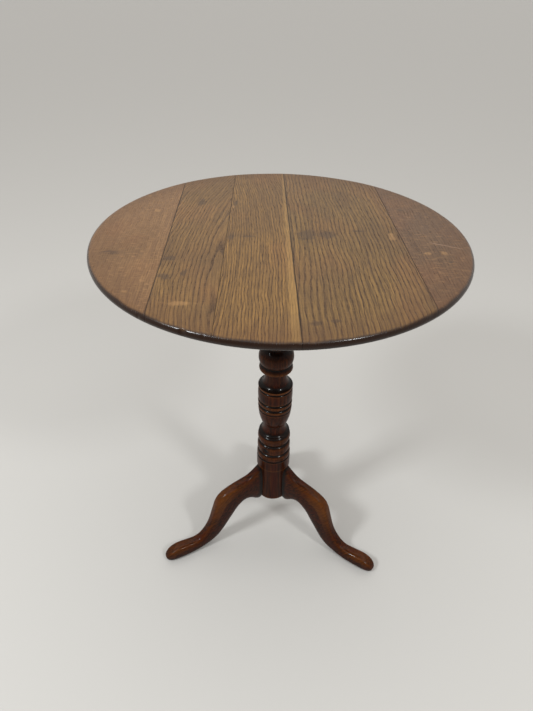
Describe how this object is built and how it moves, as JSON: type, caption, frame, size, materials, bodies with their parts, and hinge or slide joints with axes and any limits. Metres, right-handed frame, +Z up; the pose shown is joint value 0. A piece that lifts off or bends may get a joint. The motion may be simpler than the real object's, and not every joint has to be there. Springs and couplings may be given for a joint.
{
  "type": "tilt top table",
  "caption": "Round tilting table: a boarded oak top on bearers, pivoting on a block above a turned column with curved tripod legs.",
  "frame": {"origin": "on the floor under the column's axis, which is also the centre of the round top", "axes": "+Z up along the column, +Y to the back, along the tipping axis and the back leg; +X to the side the top tips towards"},
  "size_m": [0.5874, 0.5874, 0.71],
  "materials": {
    "polished_oak": "old waxed oak, golden to reddish brown",
    "stained_oak": "dark reddish brown, polished",
    "unpolished_oak": "dark, unpolished",
    "ash": "plain",
    "iron_screw": "darkened iron",
    "brass": "aged brass",
    "brass_screw": "aged brass",
    "spring_steel": "plain"
  },
  "bodies": {
    "stand": {"column": "stained_oak", "leg_left": "stained_oak", "leg_right": "stained_oak", "leg_back": "stained_oak", "pivot_block": "unpolished_oak", "tenon_wedge": "ash", "pivot_pin_front": "ash", "pivot_pin_back": "ash", "strike_plate": "brass", "strike_screw_front": "brass_screw", "strike_screw_back": "brass_screw"},
    "top": {"board_far_left": "polished_oak", "board_left": "polished_oak", "board_middle": "polished_oak", "board_right": "polished_oak", "board_far_right": "polished_oak", "bearer_front": "unpolished_oak", "bearer_back": "unpolished_oak", "bearer_screw_front_1": "iron_screw", "bearer_screw_front_2": "iron_screw", "bearer_screw_front_3": "iron_screw", "bearer_screw_front_4": "iron_screw", "bearer_screw_front_5": "iron_screw", "bearer_screw_back_1": "iron_screw", "bearer_screw_back_2": "iron_screw", "bearer_screw_back_3": "iron_screw", "bearer_screw_back_4": "iron_screw", "bearer_screw_back_5": "iron_screw", "catch_plate": "brass", "catch_screw_1": "brass_screw", "catch_screw_2": "brass_screw", "catch_screw_3": "brass_screw", "catch_screw_4": "brass_screw"},
    "bolt": {"catch_bolt": "brass", "catch_knob": "brass", "catch_spring": "spring_steel"}
  },
  "joints": [
    {"name": "top_tilt", "type": "hinge", "parent": "stand", "child": "top", "pos_m": [0.046, 0, 0.6772], "axis": [0, 1, 0], "range_deg": [0, 90]},
    {"name": "bolt_slide", "type": "slide", "parent": "top", "child": "bolt", "axis": [-1, 0, 0], "range_m": [0, 0.0105], "stiffness_N_per_m": 150, "springref_m": -0.012, "deforming": ["catch_spring"]}
  ]
}
